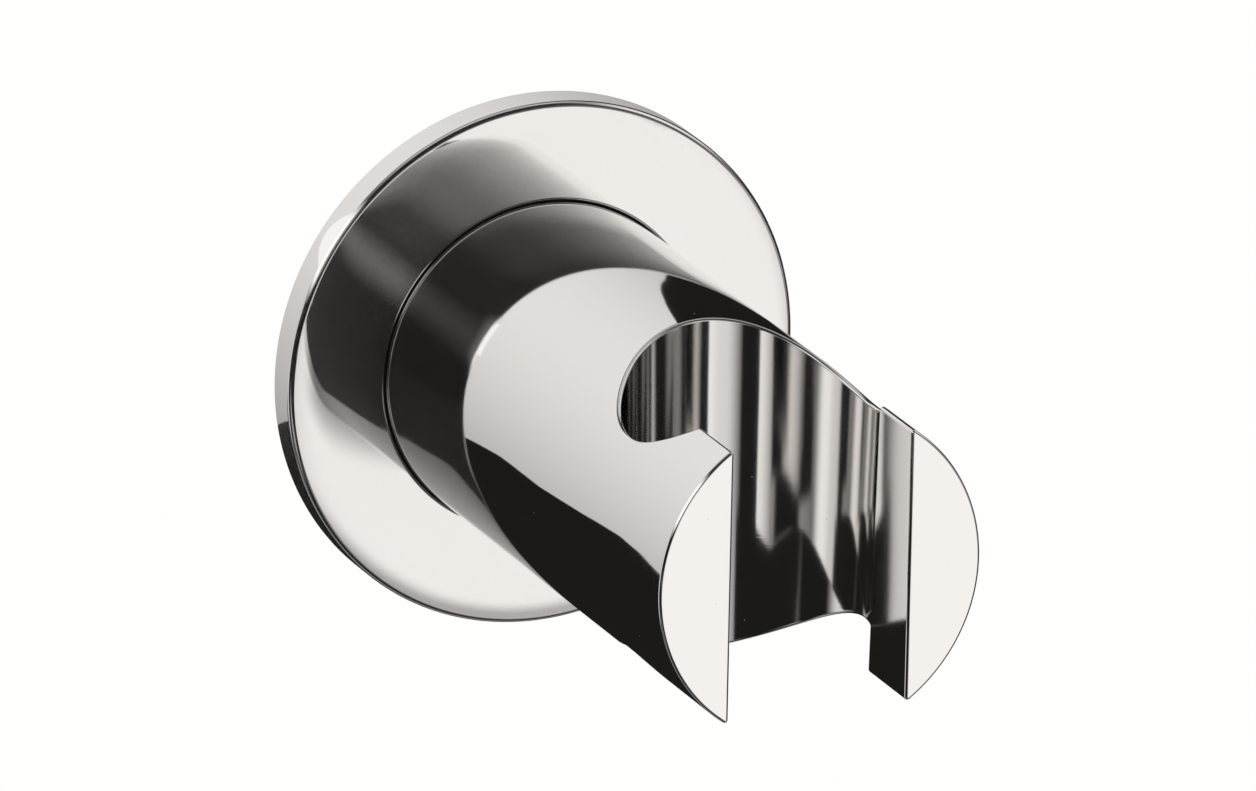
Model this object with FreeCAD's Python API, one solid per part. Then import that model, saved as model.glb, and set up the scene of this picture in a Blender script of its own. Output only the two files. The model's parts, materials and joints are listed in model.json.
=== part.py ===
"""Hand shower holder for a wall: a round chromed bar with a conical hose socket, behind it a cover disc.

Frame, in millimetres: the wall is the plane y = 0 and the holder reaches towards -Y, +Z is up,
and the origin is on the bar's axis at the wall. Each function returns one solid in this frame.
"""
import FreeCAD
import Part

import math
import os
from FreeCAD import Vector

# Driving dimensions

BAR_D = 32.4                # round bar that carries the socket
BAR_REACH = 65.2            # from the rosette's face to the bar's front face
ROSETTE_D = 52.0
ROSETTE_T = 3.9             # from the wall to the rosette's face

NUT_D = 24.0                # conical nut of the hand shower's hose, at the bar's axis
NUT_TAPER = 1.0 / 36.0      # growth of the socket's radius for each millimetre of height
NUT_LAND = 3.9              # from the socket's front wall to the bar's front face
SLOT_W = 17.9               # way in for the hose, from the front

SPIGOT_D = 19.8             # bracket's spigot inside the bar
SPIGOT_L = 17.0             # from the bracket's plate
BRACKET_D = 47.0
BRACKET_T = 2.1
WALL_SCREW_SPACING = 37.0
WALL_SCREW_HOLE_D = 4.5
WALL_SCREW_HEAD_D = 7.8

SET_SCREW_D = 5.0
SET_SCREW_L = 6.0
SET_SCREW_FROM_WALL = 11.5
SET_SCREW_HEX = 2.5
SET_SCREW_HEX_DEPTH = 2.4
SET_SCREW_TIP_D = 3.2
SET_SCREW_PLAY = 0.05
SET_SCREW_SINK = 0.8        # countersink round its hole

# Walls, gaps and edges

BORE_D = 20.0               # bore in the back of the bar, for the spigot
BORE_L = 18.8               # full diameter, from the bar's back face
DRILL_POINT_ANGLE = 118.0
ROSETTE_WALL = 1.6
ROSETTE_RIM = 1.4
ROSETTE_GAP = 0.12          # between the bar and the rosette's hole
RING_LIP = 0.35             # of the bar, behind the ring's groove
RING_GROOVE_W = 1.2
RING_GROOVE_DEPTH = 0.8
RING_SIDE_PLAY = 0.01
RING_CORNER = 0.35          # corners of the squeezed ring's section
GRIP_GROOVE_W = 6.0         # flat-bottomed groove round the spigot, where the set screw presses
GRIP_GROOVE_DEPTH = 1.0
SPIGOT_NOSE = 0.8           # chamfer that leads the bar on to the spigot

EDGE_ROSETTE = 0.6          # round on the rosette's front edge, as two cones
ROLL_WIDTH = 1.0            # ring inside that round where the face falls away gently, as two more
ROLL_ANGLE = 9.0            # its slope where the round takes over
EDGE_HOLE = 0.12            # chamfer on the rosette's hole
EDGE_BREAK = 0.25           # small chamfer on every other edge that is touched

# Places that follow

BAR_R = BAR_D / 2
SLOT_HALF = SLOT_W / 2
FACE_Y = -ROSETTE_T
FRONT_Y = FACE_Y - BAR_REACH
SOCKET_Y = FRONT_Y + NUT_LAND + NUT_D / 2
BACK_Y = -BRACKET_T
BORE_END_Y = BACK_Y - BORE_L
SPIGOT_END_Y = BACK_Y - SPIGOT_L
GRIP_R = SPIGOT_D / 2 - GRIP_GROOVE_DEPTH
GRIP_Y = -SET_SCREW_FROM_WALL
HOLE_R = BAR_R + ROSETTE_GAP
HOLLOW_Y = FACE_Y + ROSETTE_WALL
RING_Y = BACK_Y - RING_LIP - RING_GROOVE_W / 2
RING_R = BAR_R - RING_GROOVE_DEPTH
PAST = 4.0                  # how far a cutting tool reaches beyond what it cuts

ALONG = Vector(0, 1, 0)
UP = Vector(0, 0, 1)


def turned(outline):
    """Solid of revolution about the bar's axis; the outline is a closed list of (radius, y) corners."""
    corners = [Vector(radius, y, 0) for radius, y in outline]
    face = Part.Face(Part.makePolygon(corners + corners[:1]))
    return face.revolve(Vector(0, 0, 0), ALONG, 360)


def disc(radius, y_from, y_to):
    return Part.makeCylinder(radius, abs(y_to - y_from), Vector(0, min(y_from, y_to), 0), ALONG)


def socket_radius(z):
    return NUT_D / 2 + NUT_TAPER * z


def socket_tool():
    """Upright cone that seats the hose nut, joined with the slot that lets the hose in from the front."""
    low, high = -BAR_R - PAST, BAR_R + PAST
    height = high - low
    foot = Vector(0, SOCKET_Y, low)
    cone = Part.makeCone(socket_radius(low), socket_radius(high), height, foot, UP)
    corner = Vector(-SLOT_HALF, FRONT_Y - PAST, low)
    way_in = Part.makeBox(SLOT_W, SOCKET_Y - corner.y, height, corner)
    return cone.fuse(way_in).removeSplitter()


def socket_edges(body):
    """Every sharp edge of the keyhole's walls and of the prongs' front faces."""
    back = SOCKET_Y + socket_radius(BAR_R)
    ahead = [edge for edge in body.Edges if edge.BoundBox.YMin < back]
    return [edge for edge in ahead if not any(edge.isSeam(face) for face in body.Faces)]


def set_screw_tool():
    """Radial hole for the set screw, from below into the bore, with a small countersink outside."""
    radius = SET_SCREW_D / 2
    hole = Part.makeCylinder(radius, BAR_R, Vector(0, GRIP_Y, 0), -UP)
    sink = SET_SCREW_SINK
    mouth = Part.makeCone(radius, radius + sink, sink, Vector(0, GRIP_Y, sink / 2 - BAR_R), -UP)
    return hole.fuse(mouth)


def holder_body():
    """Chromed bar: keyhole socket right through the front, spigot bore behind, ring groove outside."""
    point_l = BORE_D / 2 / math.tan(math.radians(DRILL_POINT_ANGLE / 2))
    body = turned([
        (BORE_D / 2 + EDGE_BREAK, BACK_Y),
        (BAR_R - EDGE_BREAK, BACK_Y),
        (BAR_R, BACK_Y - EDGE_BREAK),
        (BAR_R, RING_Y + RING_GROOVE_W / 2),
        (RING_R, RING_Y + RING_GROOVE_W / 2),
        (RING_R, RING_Y - RING_GROOVE_W / 2),
        (BAR_R, RING_Y - RING_GROOVE_W / 2),
        (BAR_R, FRONT_Y),
        (0, FRONT_Y),
        (0, BORE_END_Y - point_l),
        (BORE_D / 2, BORE_END_Y),
        (BORE_D / 2, BACK_Y - EDGE_BREAK),
    ])
    body = body.cut(socket_tool())
    body = body.makeChamfer(EDGE_BREAK, socket_edges(body))
    return body.cut(set_screw_tool())


def arc_corners(centre_r, centre_y, radius, angles):
    """Corners (radius, y) of an outline on an arc; the angles in degrees are 0 outwards and -90 in front."""
    return [
        (centre_r + radius * math.cos(math.radians(a)), centre_y + radius * math.sin(math.radians(a)))
        for a in angles
    ]


def rosette_edge(outer):
    """Outline of the rosette's front edge, from its rim to its flat face: a round, then a gentle roll-off."""
    slope = math.radians(ROLL_ANGLE)
    roll_r = ROLL_WIDTH / math.sin(slope)
    rim_r = outer - EDGE_ROSETTE
    rim_y = FACE_Y + roll_r * (1 - math.cos(slope)) + EDGE_ROSETTE * math.cos(slope)
    flat_r = rim_r + EDGE_ROSETTE * math.sin(slope) - ROLL_WIDTH
    meet = ROLL_ANGLE - 90
    return (
        arc_corners(rim_r, rim_y, EDGE_ROSETTE, [0, meet / 2])
        + arc_corners(flat_r, FACE_Y + roll_r, roll_r, [meet, meet - ROLL_ANGLE / 2, -90])
    )


def wall_rosette():
    """Chromed cover disc, hollow behind, that slides over the bar and hides the bracket's plate."""
    outer = ROSETTE_D / 2
    return turned([
        (outer, 0),
        *rosette_edge(outer),
        (HOLE_R + EDGE_HOLE, FACE_Y),
        (HOLE_R, FACE_Y + EDGE_HOLE),
        (HOLE_R, HOLLOW_Y),
        (outer - ROSETTE_RIM, HOLLOW_Y),
        (outer - ROSETTE_RIM, 0),
    ])


def wall_screw_tool():
    """Countersunk hole for one wall screw, on the origin and open to both sides of the plate."""
    hole_r = WALL_SCREW_HOLE_D / 2
    head_r = WALL_SCREW_HEAD_D / 2
    hole = disc(hole_r, PAST, -BRACKET_T - PAST)
    sink = Part.makeCone(head_r, hole_r, head_r - hole_r, Vector(0, -BRACKET_T, 0), ALONG)
    return hole.fuse(sink)


def wall_bracket():
    """Plate that is screwed to the wall, in one piece with the grooved spigot that carries the bar."""
    plate_r = BRACKET_D / 2
    spigot_r = SPIGOT_D / 2
    half_grip = GRIP_GROOVE_W / 2
    bracket = turned([
        (0, 0),
        (plate_r, 0),
        (plate_r, BACK_Y),
        (spigot_r, BACK_Y),
        (spigot_r, GRIP_Y + half_grip + GRIP_GROOVE_DEPTH),
        (GRIP_R, GRIP_Y + half_grip),
        (GRIP_R, GRIP_Y - half_grip),
        (spigot_r, GRIP_Y - half_grip - GRIP_GROOVE_DEPTH),
        (spigot_r, SPIGOT_END_Y + SPIGOT_NOSE),
        (spigot_r - SPIGOT_NOSE, SPIGOT_END_Y),
        (0, SPIGOT_END_Y),
    ])
    for side in (-1, 1):
        tool = wall_screw_tool()
        tool.translate(Vector(side * WALL_SCREW_SPACING / 2, 0, 0))
        bracket = bracket.cut(tool)
    return bracket


def set_screw():
    """Headless screw with a flat point, standing upside down between the spigot and the bar's underside."""
    radius = SET_SCREW_D / 2 - SET_SCREW_PLAY
    tip_r = SET_SCREW_TIP_D / 2
    outline = [
        (0, 0),
        (tip_r, 0),
        (radius, radius - tip_r),
        (radius, SET_SCREW_L - EDGE_BREAK),
        (radius - EDGE_BREAK, SET_SCREW_L),
        (0, SET_SCREW_L),
    ]
    corners = [Vector(r, 0, -height) for r, height in outline]
    screw = Part.Face(Part.makePolygon(corners + corners[:1])).revolve(Vector(0, 0, 0), UP, 360)
    corner_r = SET_SCREW_HEX / 2 / math.cos(math.pi / 6)
    hexagon = [
        Vector(corner_r * math.cos(k * math.pi / 3), corner_r * math.sin(k * math.pi / 3), -SET_SCREW_L)
        for k in range(6)
    ]
    key = Part.Face(Part.makePolygon(hexagon + hexagon[:1])).extrude(UP * SET_SCREW_HEX_DEPTH)
    screw = screw.cut(key)
    screw.translate(Vector(0, GRIP_Y, -GRIP_R))
    return screw


def rosette_o_ring():
    """Rubber ring in the bar's groove, squeezed into the form that the rosette's hole leaves it."""
    half = RING_GROOVE_W / 2 - RING_SIDE_PLAY
    corner = RING_CORNER
    section = [
        (RING_R, RING_Y - half + corner),
        (RING_R + corner, RING_Y - half),
        (HOLE_R - corner, RING_Y - half),
        (HOLE_R, RING_Y - half + corner),
        (HOLE_R, RING_Y + half - corner),
        (HOLE_R - corner, RING_Y + half),
        (RING_R + corner, RING_Y + half),
        (RING_R, RING_Y + half - corner),
    ]
    return turned(section)


PIECES = {
    "holder_body": holder_body,
    "wall_rosette": wall_rosette,
    "wall_bracket": wall_bracket,
    "set_screw": set_screw,
    "rosette_o_ring": rosette_o_ring,
}


def main():
    os.makedirs("parts", exist_ok=True)
    for name, make in PIECES.items():
        solid = make()
        solid.exportStep(f"parts/{name}.step")
        print(name, "valid", solid.isValid(), "solids", len(solid.Solids), "mm3", round(solid.Volume, 1))


if __name__ == "__main__":
    main()
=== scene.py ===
"""Looks of a wall holder for a hand shower: a chromed bar with a keyhole socket in a chromed rosette.

The file is laid out as an add-on and run as a script. Lengths are in metres in the row's frame: the wall
is the plane y = 0, the bar reaches towards -Y, and +Z is up.
"""
import json
import math

import bpy
import numpy as np
from bpy.props import FloatProperty, FloatVectorProperty, PointerProperty
from mathutils import Matrix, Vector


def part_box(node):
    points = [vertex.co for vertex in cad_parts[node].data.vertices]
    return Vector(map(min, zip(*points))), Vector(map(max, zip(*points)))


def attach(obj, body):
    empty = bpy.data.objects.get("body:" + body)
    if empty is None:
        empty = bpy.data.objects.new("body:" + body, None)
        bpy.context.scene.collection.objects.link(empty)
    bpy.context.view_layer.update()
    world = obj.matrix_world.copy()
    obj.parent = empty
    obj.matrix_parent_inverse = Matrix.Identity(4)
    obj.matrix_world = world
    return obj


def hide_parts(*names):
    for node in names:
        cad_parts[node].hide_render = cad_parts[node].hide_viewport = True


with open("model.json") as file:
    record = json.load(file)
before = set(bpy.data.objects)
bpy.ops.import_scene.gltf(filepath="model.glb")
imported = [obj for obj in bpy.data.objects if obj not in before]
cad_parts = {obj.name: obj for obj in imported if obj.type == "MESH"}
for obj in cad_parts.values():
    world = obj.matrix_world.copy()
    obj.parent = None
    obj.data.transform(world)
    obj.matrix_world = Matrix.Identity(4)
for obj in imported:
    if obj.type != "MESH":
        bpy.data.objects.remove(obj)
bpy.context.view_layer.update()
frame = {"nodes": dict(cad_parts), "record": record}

bl_info = {
    "name": "Hand shower holder",
    "version": (1, 0, 0),
    "blender": (4, 5, 0),
    "location": "View3D > Sidebar > Holder",
    "description": "Builds the chromed pieces of a hand shower holder and a white studio round them",
    "category": "Add Mesh",
}

MM = 0.001
BAR_LOW, BAR_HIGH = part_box("holder_body")
ROSETTE_LOW, ROSETTE_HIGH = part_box("wall_rosette")
RING_LOW, RING_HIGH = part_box("rosette_o_ring")
SCREW_LOW, SCREW_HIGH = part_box("set_screw")
SOCKET = next(m for m in frame["record"]["mounts"] if m["name"] == "handset_socket")


# Surfaces: a patch is points and outward normals, both arrays of rows x columns x 3, and where it isn't
# the piece's first material, that material's number


def lines(*stretches):
    """Numbers spaced evenly in each (from, to, steps) stretch, with the shared ends written once."""
    parts = [np.linspace(a, b, n + 1) for a, b, n in stretches]
    return np.concatenate([parts[0]] + [part[1:] for part in parts[1:]])


def turn_between(start, end, steps):
    """Unit vectors that turn evenly from start to end, by an angle a in all.

    At a share t they are sin((1-t)a)/sin(a) of the start plus sin(ta)/sin(a) of the end.
    """
    start, end = np.broadcast_arrays(start, end)
    angle = np.arccos(np.clip(np.sum(start * end, -1), -1, 1))[..., None, None]
    t = np.linspace(0, 1, steps + 1)[:, None]
    mix = np.sin((1 - t) * angle) * start[..., None, :] + np.sin(t * angle) * end[..., None, :]
    return mix / np.sin(angle)


EDGE_STEPS = 6


def edge_round(core, start, end, radius):
    """Round of an edge: core points moved out by the radius along directions that turn from start to end."""
    normals = turn_between(start, end, EDGE_STEPS)
    points = core[..., None, :] + radius * normals
    return points, np.broadcast_to(normals, points.shape)


def turned(outline, theta, outward=1):
    """Straight stretches of an outline of (radius, y) pairs, each turned round the bar's axis.

    A point is (r sin(theta), y, r cos(theta)); the normal of a stretch is square to it in the half plane.
    """
    patches = []
    for (r0, y0), (r1, y1) in zip(outline[:-1], outline[1:]):
        length = math.hypot(r1 - r0, y1 - y0)
        normal = outward * np.array([(y1 - y0) / length, -(r1 - r0) / length])
        radius = np.array([r0, r1])[:, None]
        height = np.array([y0, y1])[:, None]
        patches.append(revolved(radius, height, normal[0], normal[1], theta))
    return patches


def revolved(radius, height, normal_r, normal_y, theta):
    """Patch of a surface of revolution from columns of radius and height and the normals' two parts."""
    sin, cos = np.sin(theta), np.cos(theta)
    points = np.stack(np.broadcast_arrays(radius * sin, height, radius * cos), -1)
    normals = np.stack(np.broadcast_arrays(normal_r * sin, normal_y + 0 * sin, normal_r * cos), -1)
    return points, np.broadcast_to(normals, points.shape)


def mirrored(patches):
    """The patches and their mirror images in the plane x = 0."""
    flip = np.array([-1.0, 1.0, 1.0])
    return patches + [(points * flip, normals * flip, *finish) for points, normals, *finish in patches]


def patch_faces(points, normals, first):
    """Corner indices and corner normals of a patch's quads, turned to face along its normals."""
    rows, columns = points.shape[:2]
    index = first + np.arange(rows * columns).reshape(rows, columns)
    pick = [(slice(0, -1), slice(0, -1)), (slice(1, None), slice(0, -1)),
            (slice(1, None), slice(1, None)), (slice(0, -1), slice(1, None))]
    corners = np.stack([index[p] for p in pick], -1).reshape(-1, 4)
    directions = np.stack([normals[p] for p in pick], -2).reshape(-1, 4, 3)
    a, b, c, d = (points[p] for p in pick)
    facing = np.sum(np.cross(c - a, d - b) * (normals[pick[0]] + normals[pick[2]]))
    if facing < 0:
        corners, directions = corners[:, ::-1], directions[:, ::-1]
    return corners, directions


WELD = 1e-7                 # points of a piece that are closer, in metres, are one


def make_piece(name, patches, *materials, body="root", slot=None, stands_for=()):
    """One welded mesh from patches, with their exact normals at every corner of every face.

    Points closer than WELD become one, and a quad with two such corners a triangle.
    """
    points = np.concatenate([patch[0].reshape(-1, 3) for patch in patches])
    firsts = np.cumsum([0] + [patch[0].shape[0] * patch[0].shape[1] for patch in patches])
    made = [patch_faces(*patch[:2], first) for patch, first in zip(patches, firsts)]
    finish = np.concatenate([np.full(len(c), sum(patch[2:])) for patch, (c, _) in zip(patches, made)])
    corners = np.concatenate([c for c, _ in made])
    normals = np.concatenate([n for _, n in made])
    _, first_seen, welded = np.unique(
        np.round(points / WELD).astype(np.int64), axis=0, return_index=True, return_inverse=True
    )
    corners = welded.reshape(-1)[corners]
    twin = corners == np.roll(corners, -1, axis=1)
    quads, triangles = twin.sum(1) == 0, twin.sum(1) == 1
    keep = ~twin[triangles]
    loops = np.concatenate([corners[quads].ravel(), corners[triangles][keep]])
    loop_normals = np.concatenate([normals[quads].reshape(-1, 3), normals[triangles][keep]])
    totals = np.concatenate([np.full(quads.sum(), 4), np.full(triangles.sum(), 3)])
    starts = np.concatenate([[0], np.cumsum(totals)[:-1]])
    mesh = bpy.data.meshes.new(name)
    mesh.vertices.add(len(first_seen))
    mesh.vertices.foreach_set("co", points[first_seen].astype(np.float32).ravel())
    mesh.loops.add(len(loops))
    mesh.loops.foreach_set("vertex_index", loops.astype(np.int32))
    mesh.polygons.add(len(totals))
    mesh.polygons.foreach_set("loop_start", starts.astype(np.int32))
    mesh.polygons.foreach_set("use_smooth", np.ones(len(totals), bool))
    numbers = np.concatenate([finish[quads], finish[triangles]])
    mesh.polygons.foreach_set("material_index", numbers.astype(np.int32))
    mesh.update(calc_edges=True)
    if mesh.validate():
        raise RuntimeError(f"{name} has faces that Blender had to mend")
    mesh.normals_split_custom_set(loop_normals.astype(np.float32))
    piece = bpy.data.objects.new(name, mesh)
    bpy.context.scene.collection.objects.link(piece)
    for material in materials:
        mesh.materials.append(material)
    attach(piece, body)
    if stands_for:
        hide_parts(*stands_for)
    return piece


# The bar: an inner core with sharp edges, and everything within the edge round's radius of that core


ROOT_STEPS = 40
BACK_SHARES = 64
CORNER_SHARES = 24
SHARES = lines((0.0, 0.5, BACK_SHARES), (0.5, 1.0, CORNER_SHARES))
SIDE_STEPS = 56
LONG_STEPS = 10
PRONG_STEPS = 8
MIDDLE_Y = -34.0 * MM
SOCKET_FINISH = 1           # number of the socket's own material


class BarForm:
    """Numbers of the bar, worked out once from the sizes."""

    def __init__(self, sizes):
        self.edge = sizes.edge_round
        self.radius = sizes.bar_radius
        self.core = self.radius - self.edge
        self.front = BAR_LOW.y + self.edge
        self.slot = sizes.slot_half + self.edge
        self.taper = sizes.socket_taper
        self.lean = math.hypot(1, self.taper)
        self.socket_r = sizes.socket_radius + self.edge * self.lean
        self.socket_y = SOCKET["pos_m"][1]

    def socket(self, z):
        """Radius of the core's conical wall at this height."""
        return self.socket_r + self.taper * z

    def angle(self, share, z):
        """Angle round the socket's axis from straight back; a share of a half is square to the bar's
        middle plane, and a share of one is the corner where the slot's flat wall begins."""
        corner = math.pi - np.arcsin(self.slot / self.socket(z))
        front = (2 * np.maximum(share, 0.5) - 1) * (corner - math.pi / 2)
        return math.pi * np.minimum(share, 0.5) + front

    def wall(self, share, z):
        """Core points and normals of the socket's wall, at an angle given as a share and a height."""
        angle = self.angle(share, z)
        sin, cos = np.sin(angle), np.cos(angle)
        radius = self.socket(z)
        points = np.stack(np.broadcast_arrays(radius * sin, self.socket_y + radius * cos, z), -1)
        normals = np.stack(np.broadcast_arrays(-sin, -cos, self.taper), -1) / self.lean
        return points, normals

    def mouth_height(self, share, side):
        """Height at which the socket's wall meets the core's round, above (side 1) or below (side -1).

        z is the root of z^2 + (R(z) sin(angle(z)))^2 = core^2, found by repeated substitution.
        """
        z = np.full_like(share, side * self.core)
        for _ in range(ROOT_STEPS):
            x = self.socket(z) * np.sin(self.angle(share, z))
            z = side * np.sqrt(self.core ** 2 - x ** 2)
        return z

    def skin(self, points):
        """Direction of the round bar's surface above core points."""
        normals = points * np.array([1.0, 0.0, 1.0])
        return normals / np.linalg.norm(normals, axis=-1, keepdims=True)


def along(start, end, steps):
    """Points on straight lines between matching points, even steps apart."""
    t = np.linspace(0, 1, steps + 1)[:, None, None]
    return start[None] * (1 - t) + end[None] * t


def skin_patch(form, start, end, steps):
    """Strip of the bar's round skin between two rows of core points."""
    core = along(start, end, steps)
    normals = form.skin(core)
    return core + form.edge * normals, normals


def flat_patch(core, normal, offset):
    """Flat patch that lies off a grid of core points along one normal."""
    return core + offset * normal, np.broadcast_to(normal, core.shape)


def at_y(points, y):
    """The points moved along the bar to one y."""
    moved = points.copy()
    moved[:, 1] = y
    return moved


def side_points(form, top, bottom, y):
    """Core points down the bar's side, at even angles from a point above to a point below."""
    start = math.atan2(top[0], top[2])
    end = math.atan2(bottom[0], bottom[2])
    theta = np.linspace(start, end, SIDE_STEPS + 1)
    return np.stack([form.core * np.sin(theta), np.full_like(theta, y), form.core * np.cos(theta)], -1)


def bar_front(form):
    """Right half of the bar in front of its middle: skin, socket, slot, prong and all edge rounds."""
    heights = {side: form.mouth_height(SHARES, side) for side in (1, -1)}
    mouths = {side: form.wall(SHARES, heights[side]) for side in (1, -1)}
    top, bottom = mouths[1][0], mouths[-1][0]
    tangent = BACK_SHARES
    side = side_points(form, top[tangent], bottom[tangent], form.socket_y)
    patches = [
        skin_patch(form, at_y(side, MIDDLE_Y), side, LONG_STEPS),
        skin_patch(form, side, at_y(side, form.front), PRONG_STEPS),
    ]
    across = np.array([-1.0, 0.0, 0.0])
    ahead = np.array([0.0, -1.0, 0.0])
    for mouth, wall_normals in mouths.values():
        skin = form.skin(mouth)
        behind, beside, corner = mouth[:tangent + 1], mouth[tangent:], mouth[-1:]
        tip = at_y(corner, form.front)
        pocket = turn_between(wall_normals[-1], across, EDGE_STEPS)
        nose = turn_between(across, ahead, EDGE_STEPS)
        patches += [
            skin_patch(form, at_y(behind, MIDDLE_Y), behind, LONG_STEPS),
            skin_patch(form, beside, at_y(beside, form.front), PRONG_STEPS),
            edge_round(mouth, skin, wall_normals, form.edge),
            edge_round(along(corner, tip, PRONG_STEPS)[:, 0], skin[-1], across, form.edge),
            edge_round(np.broadcast_to(corner, pocket.shape), skin[-1], pocket, form.edge),
            edge_round(np.broadcast_to(tip, nose.shape), skin[-1], nose, form.edge),
        ]
    rim = np.concatenate([top[:tangent:-1], side, bottom[tangent + 1:]])
    rim = at_y(rim, form.front)
    upright = rim.copy()
    upright[:, 0] = form.slot
    share = (rim[:, 2] - rim[-1, 2]) / (rim[0, 2] - rim[-1, 2])
    height = heights[-1] + share[:, None] * (heights[1] - heights[-1])
    core, normals = form.wall(SHARES, height)
    return patches + [
        edge_round(rim, form.skin(rim), ahead, form.edge),
        flat_patch(along(upright, rim, PRONG_STEPS), ahead, form.edge),
        edge_round(upright, across, ahead, form.edge),
        (core + form.edge * normals, normals, SOCKET_FINISH),
        (*edge_round(core[:, -1], normals[:, -1], across, form.edge), SOCKET_FINISH),
        (*flat_patch(along(core[:, -1], upright, PRONG_STEPS), across, form.edge), SOCKET_FINISH),
    ]


def skin_angles(form):
    """Angles from the top down the right side to the bottom at which the bar's front half has its lines."""
    share = SHARES[:BACK_SHARES + 1]
    top, bottom = (form.wall(share, form.mouth_height(share, side))[0] for side in (1, -1))
    side = side_points(form, top[-1], bottom[-1], 0.0)
    core = np.concatenate([top, side[1:-1], bottom[::-1]])
    return np.arctan2(core[:, 0], core[:, 2])


WINDOW_COLUMNS = 17         # columns of the bar's grid on each side of the set screw's hole
WINDOW_ROWS = 12
WINDOW_HALF = 4.6 * MM      # half the window's length in the bar's skin
BORE_WINDOW_HALF = 3.0 * MM
HOLE_RINGS = 6
RING_PLAY = 0.01 * MM
GROOVE_DEPTH = 0.8 * MM
HIDDEN_CHAMFER = 0.25 * MM
DRILL_POINT_ANGLE = 118.0
SINK = 0.4 * MM             # depth of the countersink below the bar's lowest line
THREAD_PITCH = 0.8 * MM
THREAD_DEPTH = 0.38 * MM
THREAD_ROWS = 10            # rows for each turn
THREAD_SLOPE = 1.5
THREAD_FLAT = 0.25
THREAD_FADE = 1 / 12        # share of the rows at each end over which the thread rises
SLOPE_STEP = 1e-7


def screw_y():
    """Place of the set screw's axis along the bar."""
    return (SCREW_LOW.y + SCREW_HIGH.y) / 2


def round_screw(radius, angle, z):
    """Points at radii and angles round the set screw's axis, and at heights."""
    return np.stack(np.broadcast_arrays(radius * np.cos(angle), screw_y() + radius * np.sin(angle), z), -1)


def screw_window(radius, theta, half, rim_radius):
    """Right half of a window in a round surface, filled in to the round rim of the set screw's hole.

    Points lie on straight lines, seen from below, from the window's edge to the rim at the same angle.
    """
    edge_theta = theta[-WINDOW_COLUMNS:]
    x = radius * np.sin(edge_theta)
    y_back, y_front = screw_y() + half, screw_y() - half
    rows = np.linspace(y_back, y_front, WINDOW_ROWS + 1)
    outer = np.concatenate([
        np.stack([x[::-1], np.full(WINDOW_COLUMNS, y_back)], -1)[:-1],
        np.stack([np.full(WINDOW_ROWS + 1, x[0]), rows], -1),
        np.stack([x, np.full(WINDOW_COLUMNS, y_front)], -1)[1:],
    ])
    centre = np.array([0.0, screw_y()])
    outer[[0, -1], 0] = 0.0
    angle = np.arctan2(outer[:, 1] - centre[1], outer[:, 0])
    rim = centre + rim_radius(angle)[:, None] * np.stack([np.cos(angle), np.sin(angle)], -1)
    rim[[0, -1], 0] = 0.0
    plan = along(outer, rim, HOLE_RINGS)
    z = -np.sqrt(radius ** 2 - plan[..., 0] ** 2)
    points = np.stack([plan[..., 0], plan[..., 1], z], -1)
    normals = np.stack([plan[..., 0], 0 * z, z], -1) / radius
    return points, normals, angle


def beside_window(radius, half, outward, theta):
    """Strip of a round surface beside the window that screw_window fills."""
    rows = np.linspace(screw_y() + half, screw_y() - half, WINDOW_ROWS + 1)[:, None]
    return revolved(np.full_like(rows, radius), rows, outward, 0.0, theta[:1 - WINDOW_COLUMNS])


def bar_back(form, sizes):
    """Right half of the bar behind its middle: skin with the set screw's window, ring groove, bore."""
    theta = skin_angles(form)
    groove_front = RING_LOW.y - RING_PLAY
    groove_back = RING_HIGH.y + RING_PLAY
    back = BAR_HIGH.y
    radius, bore = form.radius, sizes.bore_radius
    end = back - sizes.bore_length
    point = bore / math.tan(math.radians(DRILL_POINT_ANGLE / 2))
    patches = turned([(radius, MIDDLE_Y), (radius, screw_y() - WINDOW_HALF)], theta)
    patches.append(beside_window(radius, WINDOW_HALF, 1.0, theta))
    patches += turned([
        (radius, screw_y() + WINDOW_HALF),
        (radius, groove_front),
        (radius - GROOVE_DEPTH, groove_front),
        (radius - GROOVE_DEPTH, groove_back),
        (radius, groove_back),
        (radius, back - HIDDEN_CHAMFER),
        (radius - HIDDEN_CHAMFER, back),
        (bore + HIDDEN_CHAMFER, back),
        (bore, back - HIDDEN_CHAMFER),
        (bore, screw_y() + BORE_WINDOW_HALF),
    ], theta)
    patches.append(beside_window(bore, BORE_WINDOW_HALF, -1.0, theta))
    return patches + turned([(bore, screw_y() - BORE_WINDOW_HALF), (bore, end), (0.0, end - point)], theta)


def thread_rows(length):
    """Shares from nought to one down a thread of this length, as a column."""
    return np.linspace(0, 1, int(THREAD_ROWS * length / THREAD_PITCH) + 1)[:, None]


def thread_radius(crest, rows):
    """Radius of a screw thread as a function of angle and z, on a grid with these shares down its rows.

    It is the crest's radius less a share of THREAD_DEPTH that rises and falls evenly once in each pitch,
    shifted by the angle so that the form climbs one pitch in a turn, and that fades out at both ends.
    """
    fade = np.clip(np.minimum(rows, 1 - rows) / THREAD_FADE, 0, 1)

    def radius_of(angle, z):
        """Radius at this angle and height."""
        phase = np.mod(z / THREAD_PITCH - angle / (2 * math.pi), 1.0)
        share = np.clip(np.abs(2 * phase - 1) * THREAD_SLOPE - THREAD_FLAT, 0, 1)
        return crest - fade * THREAD_DEPTH * share

    return radius_of


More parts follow.
